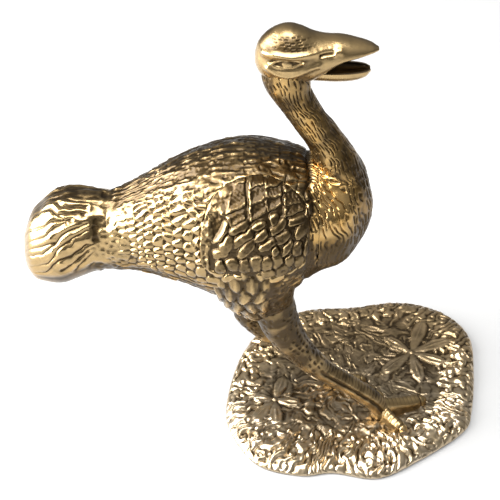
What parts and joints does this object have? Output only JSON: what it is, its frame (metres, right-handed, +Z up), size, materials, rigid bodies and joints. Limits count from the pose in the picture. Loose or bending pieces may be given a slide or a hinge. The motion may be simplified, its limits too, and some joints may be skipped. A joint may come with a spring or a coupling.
{
  "type": "ostrich statue",
  "caption": "Cast brass ostrich ornament on a thin irregular ground plate: hollow body halves, wing plates, tail plume, neck, head with open bill and striding legs, pinned together",
  "frame": {"origin": "middle of the ground plate's flat underside, on the surface the statue stands on", "axes": "+Z up, +X the way the bird looks, -Y the bird's right side, which faces the camera in the picture"},
  "size_m": [0.1272, 0.0718, 0.1218],
  "materials": {
    "brass": "cast and chased brass, polished on the high parts, dark brown patina in the hollows",
    "steel": "plain steel pins, dowels, stud and screws, hidden inside the castings"
  },
  "bodies": {
    "root": {"base_slab": "brass", "right_leg": "brass", "left_leg": "brass", "right_foot_screw": "steel", "left_foot_screw": "steel", "right_body_shell": "brass", "left_body_shell": "brass", "right_wing": "brass", "left_wing": "brass", "tail_plume": "brass", "neck": "brass", "head": "brass", "lower_bill": "brass", "tail_pin": "steel", "neck_pin": "steel", "rear_body_dowel": "steel", "front_body_dowel": "steel", "right_thigh_pin": "steel", "left_thigh_pin": "steel", "head_stud": "steel", "jaw_pin": "brass"}
  },
  "joints": []
}
